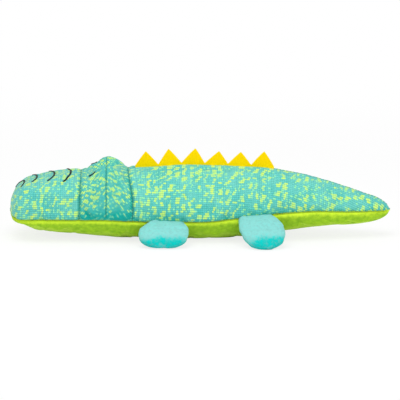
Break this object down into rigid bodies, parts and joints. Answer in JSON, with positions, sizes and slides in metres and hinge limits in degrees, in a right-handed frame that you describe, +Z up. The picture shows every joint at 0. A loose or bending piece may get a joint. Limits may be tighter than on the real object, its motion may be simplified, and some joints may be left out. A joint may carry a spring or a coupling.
{
  "type": "stuffed toy crocodile",
  "caption": "Stuffed cloth crocodile toy lying on its belly: woven back, plush belly, raised eye bumps, a felt spike strip along the spine and padded feet sewn into the side seams.",
  "frame": {"origin": "middle of the toy's bounding box on the plane it lies on", "axes": "+X from the nose towards the tail, +Z up, +Y towards the toy's right-hand side"},
  "size_m": [0.3799, 0.1368, 0.0886],
  "materials": {
    "woven_cloth": "teal and lime flat-woven cloth with a small broken diagonal pattern",
    "belly_plush": "short-pile lime plush",
    "foot_plush": "short-pile pale teal plush",
    "yellow_felt": "matt yellow felt",
    "dark_thread": "dark satin-stitch embroidery thread",
    "polyester_fibre": "loose white polyester fibre"
  },
  "bodies": {
    "body": {"snout_panel": "woven_cloth", "brow_front_panel": "woven_cloth", "brow_rear_panel": "woven_cloth", "back_panel_left": "woven_cloth", "back_panel_right": "woven_cloth", "belly_panel": "belly_plush", "body_filling": "polyester_fibre", "nose_stitch": "dark_thread", "snout_stitch_front": "dark_thread", "snout_stitch_middle": "dark_thread", "snout_stitch_rear": "dark_thread", "eye_stitch_left": "dark_thread", "eye_stitch_right": "dark_thread"},
    "spikes": {"spike_strip": "yellow_felt"},
    "front_foot_left": {"front_foot_left_top": "foot_plush", "front_foot_left_sole": "foot_plush", "front_foot_left_filling": "polyester_fibre"},
    "front_foot_right": {"front_foot_right_top": "foot_plush", "front_foot_right_sole": "foot_plush", "front_foot_right_filling": "polyester_fibre"},
    "rear_foot_left": {"rear_foot_left_top": "foot_plush", "rear_foot_left_sole": "foot_plush", "rear_foot_left_filling": "polyester_fibre"},
    "rear_foot_right": {"rear_foot_right_top": "foot_plush", "rear_foot_right_sole": "foot_plush", "rear_foot_right_filling": "polyester_fibre"}
  },
  "joints": [
    {"name": "spike_strip_lean", "type": "hinge", "parent": "body", "child": "spikes", "pos_m": [0, 0, 0.07171], "axis": [0.9999, 0, -0.0159], "range_deg": [-45, 45], "stiffness_Nm_per_rad": 0.0005},
    {"name": "front_foot_left_flop", "type": "hinge", "parent": "body", "child": "front_foot_left", "pos_m": [-0.03686, -0.04092, 0.02279], "axis": [-1, 0.0013, 0.0044], "range_deg": [-28, 75]},
    {"name": "front_foot_right_flop", "type": "hinge", "parent": "body", "child": "front_foot_right", "pos_m": [-0.03686, 0.04092, 0.02279], "axis": [1, 0.0013, -0.0044], "range_deg": [-28, 75]},
    {"name": "rear_foot_left_flop", "type": "hinge", "parent": "body", "child": "rear_foot_left", "pos_m": [0.05575, -0.03869, 0.02808], "axis": [-0.9875, -0.1277, -0.0924], "range_deg": [-28, 75]},
    {"name": "rear_foot_right_flop", "type": "hinge", "parent": "body", "child": "rear_foot_right", "pos_m": [0.05575, 0.03869, 0.02808], "axis": [0.9875, -0.1277, 0.0924], "range_deg": [-28, 75]}
  ]
}
